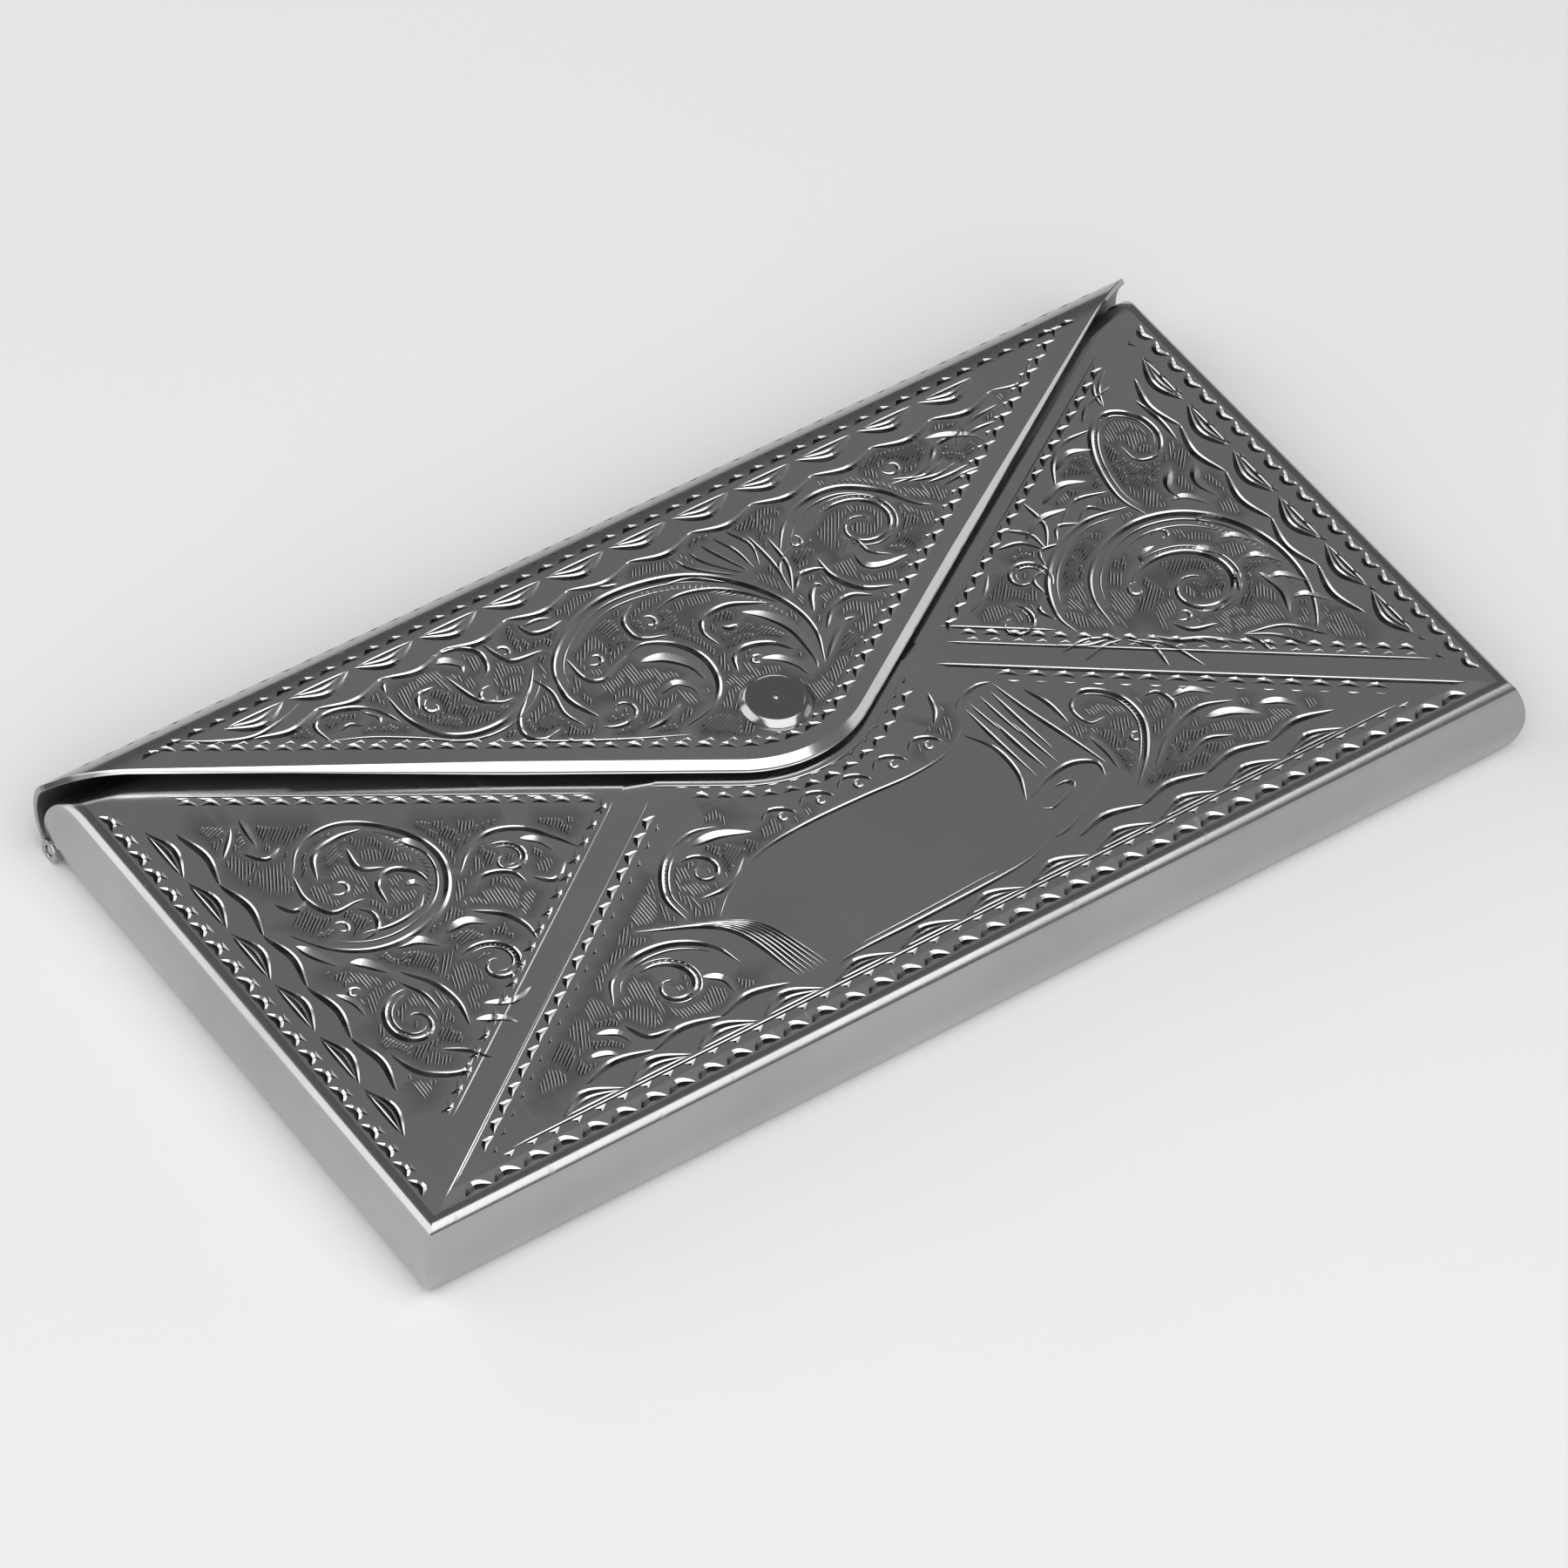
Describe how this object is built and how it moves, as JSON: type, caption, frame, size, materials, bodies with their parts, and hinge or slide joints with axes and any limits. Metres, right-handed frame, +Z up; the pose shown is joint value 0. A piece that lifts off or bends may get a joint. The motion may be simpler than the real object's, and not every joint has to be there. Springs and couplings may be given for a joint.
{
  "type": "envelope card case",
  "caption": "Slim metal card case shaped like an envelope: rounded rims, engraved folds, and a triangular flap lid on a full-length hinge that closes with a press-stud.",
  "frame": {"origin": "centre of the underside of the bounding box, on the plane the case lies on", "axes": "X along the hinge (longest side), +Y from the front rim towards the hinge, +Z up out of the engraved front"},
  "size_m": [0.102, 0.054, 0.0098],
  "materials": {
    "engraved_silver": "polished silver, hand engraved, darkened in the cuts",
    "lid_silver": "polished silver, hand engraved, darkened in the cuts",
    "back_silver": "polished silver with engraved border",
    "polished_silver": "plain polished silver",
    "hinge_silver": "plain silver tube",
    "pin_metal": "drawn wire",
    "snap_metal": "turned silver",
    "spring_wire": "spring wire",
    "seal_silver": "bright turned silver"
  },
  "bodies": {
    "case": {"front_plate": "engraved_silver", "back_plate": "back_silver", "front_rim": "polished_silver", "left_rim": "polished_silver", "right_rim": "polished_silver", "body_knuckle_1": "hinge_silver", "body_knuckle_2": "hinge_silver", "body_knuckle_3": "hinge_silver", "body_knuckle_4": "hinge_silver", "hinge_pin": "pin_metal", "socket_eyelet": "snap_metal", "socket_cup": "snap_metal", "snap_spring": "spring_wire"},
    "lid": {"flap": "lid_silver", "lid_knuckle_1": "hinge_silver", "lid_knuckle_2": "hinge_silver", "lid_knuckle_3": "hinge_silver", "seal_cap": "seal_silver", "snap_stud": "snap_metal"}
  },
  "joints": [
    {"name": "lid_hinge", "type": "hinge", "parent": "case", "child": "lid", "pos_m": [0, 0.02488, 0.001], "axis": [-1, 0, 0], "range_deg": [0, 140]}
  ]
}
